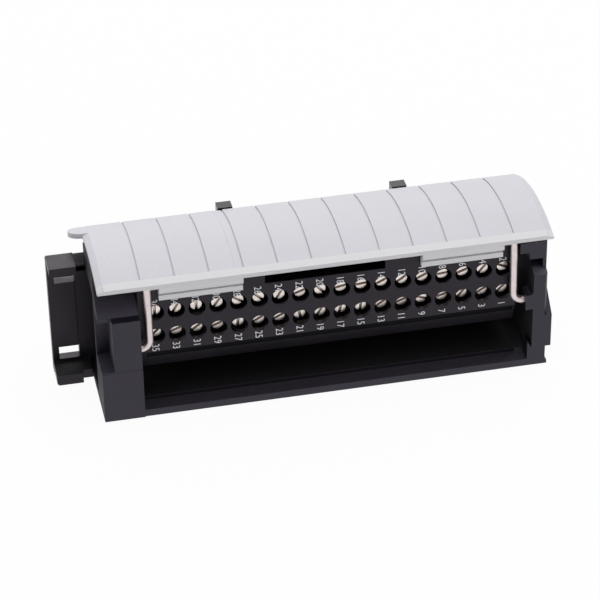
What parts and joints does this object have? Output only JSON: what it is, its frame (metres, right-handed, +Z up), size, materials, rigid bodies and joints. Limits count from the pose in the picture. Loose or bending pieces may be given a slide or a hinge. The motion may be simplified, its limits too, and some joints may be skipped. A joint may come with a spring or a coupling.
{
  "type": "removable terminal block",
  "caption": "Plug-in terminal block with two rows of screw clamps over a wiring channel, a strain relief at one end and an arched door that swings on hinge wires.",
  "frame": {"origin": "On the flat underside of the housing, below the middle of the terminal columns and below the plane of the screw face", "axes": "+X along the rows, away from the strain relief; +Y from the screw face towards the plug-in contacts; +Z up from the underside"},
  "size_m": [0.1214, 0.0364, 0.0392],
  "materials": {
    "housing_plastic": "fine textured black moulding",
    "core_plastic": "smooth black moulding",
    "door_plastic": "fine textured light grey moulding",
    "hinge_wire": "satin plated wire",
    "screw_metal": "nickel plated",
    "cage_metal": "zinc plated",
    "contact_metal": "tinned brass"
  },
  "bodies": {
    "base": {"housing": "housing_plastic", "terminal_core": "core_plastic", "contact_carrier": "core_plastic", "screws_lower": "screw_metal", "screws_upper": "screw_metal", "clamp_cages_lower": "cage_metal", "clamp_cages_upper": "cage_metal", "contacts_lower": "contact_metal", "contacts_upper": "contact_metal"},
    "hinge_wires": {"hinge_wire_left": "hinge_wire", "hinge_wire_right": "hinge_wire"},
    "door": {"door": "door_plastic"}
  },
  "joints": [
    {"name": "wire_swing", "type": "hinge", "parent": "base", "child": "hinge_wires", "pos_m": [0, -0.0022, 0.0187], "axis": [1, 0, 0], "range_deg": [0, 164]},
    {"name": "door_swing", "type": "hinge", "parent": "hinge_wires", "child": "door", "pos_m": [0, -0.0013, 0.0354], "axis": [1, 0, 0], "range_deg": [-82, 0]}
  ],
  "couplings": [
    {"joint": "door_swing", "follows": "wire_swing", "ratio": -0.5}
  ]
}
